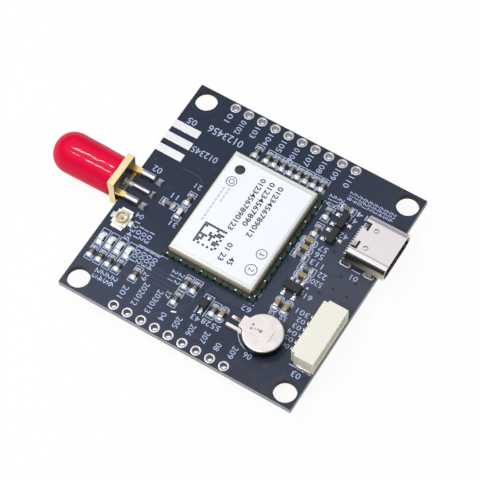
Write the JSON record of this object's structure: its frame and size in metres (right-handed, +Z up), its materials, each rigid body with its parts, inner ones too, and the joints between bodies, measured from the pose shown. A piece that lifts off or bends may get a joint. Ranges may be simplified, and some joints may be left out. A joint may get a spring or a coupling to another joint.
{
  "type": "satellite positioning receiver board",
  "caption": "Square carrier board with a shielded positioning receiver module, capped edge antenna jack, micro coax, USB and cable sockets, backup cell and two rows of header holes.",
  "frame": {"origin": "middle of the four mounting holes, on the board's underside", "axes": "+Z up through the board towards the receiver module, +X out of the USB and cable sockets, +Y towards the longer header row; the antenna jack points along -X"},
  "size_m": [0.0581, 0.0428, 0.0071],
  "materials": {
    "board": "dark blue-black lacquered glass-fibre board with white print",
    "module_board": "dark green lacquered glass-fibre board",
    "solder": "bright tin solder on plated copper",
    "tinned_sheet": "satin tinned sheet",
    "bright_steel": "bright plated steel",
    "gold": "pale gold plating",
    "label_paper": "matt white label",
    "red_vinyl": "glossy soft red vinyl",
    "dark_mould": "black moulding compound",
    "ivory_nylon": "ivory nylon",
    "insulator": "dark insulating polymer",
    "cell_steel": "fine-brushed stainless steel",
    "lens": "milky clear resin",
    "white_ceramic": "white ceramic",
    "tan_ceramic": "tan ceramic",
    "dark_film": "black resistor film on ceramic"
  },
  "bodies": {
    "root": {"circuit_board": "board", "long_row_eyelets": "solder", "short_row_eyelets": "solder", "spare_antenna_pads": "solder", "jack_pads": "solder", "solder_pads": "solder", "module_board": "module_board", "module_edge_contacts": "gold", "module_lands": "solder", "module_shield": "tinned_sheet", "module_label": "label_paper", "receiver_chip": "dark_mould", "clock_oscillator": "tinned_sheet", "band_filters": "white_ceramic", "memory_chip": "dark_mould", "jack_body": "gold", "jack_insulator": "insulator", "jack_contact": "gold", "jack_solder": "solder", "dust_cap": "red_vinyl", "coax_base": "ivory_nylon", "coax_ring": "gold", "coax_pin": "gold", "usb_shell": "bright_steel", "usb_insulator": "dark_mould", "usb_contacts": "gold", "usb_slot_eyelets": "solder", "socket_housing": "ivory_nylon", "socket_pins": "bright_steel", "socket_anchors": "bright_steel", "backup_cell": "cell_steel", "cell_gasket": "insulator", "cell_top_tab": "cell_steel", "cell_bottom_tab": "cell_steel", "led_bases": "white_ceramic", "led_lenses": "lens", "led_terminals": "solder", "resistor_bodies": "dark_film", "resistor_terminals": "solder", "capacitor_bodies": "tan_ceramic", "capacitor_terminals": "solder", "inductor_body": "white_ceramic", "inductor_terminals": "solder", "diode_body": "dark_mould", "diode_leads": "solder", "transistor_bodies": "dark_mould", "transistor_leads": "solder", "regulator_body": "dark_mould", "regulator_leads": "solder", "chip_solder": "solder", "lead_solder": "solder"}
  },
  "joints": []
}
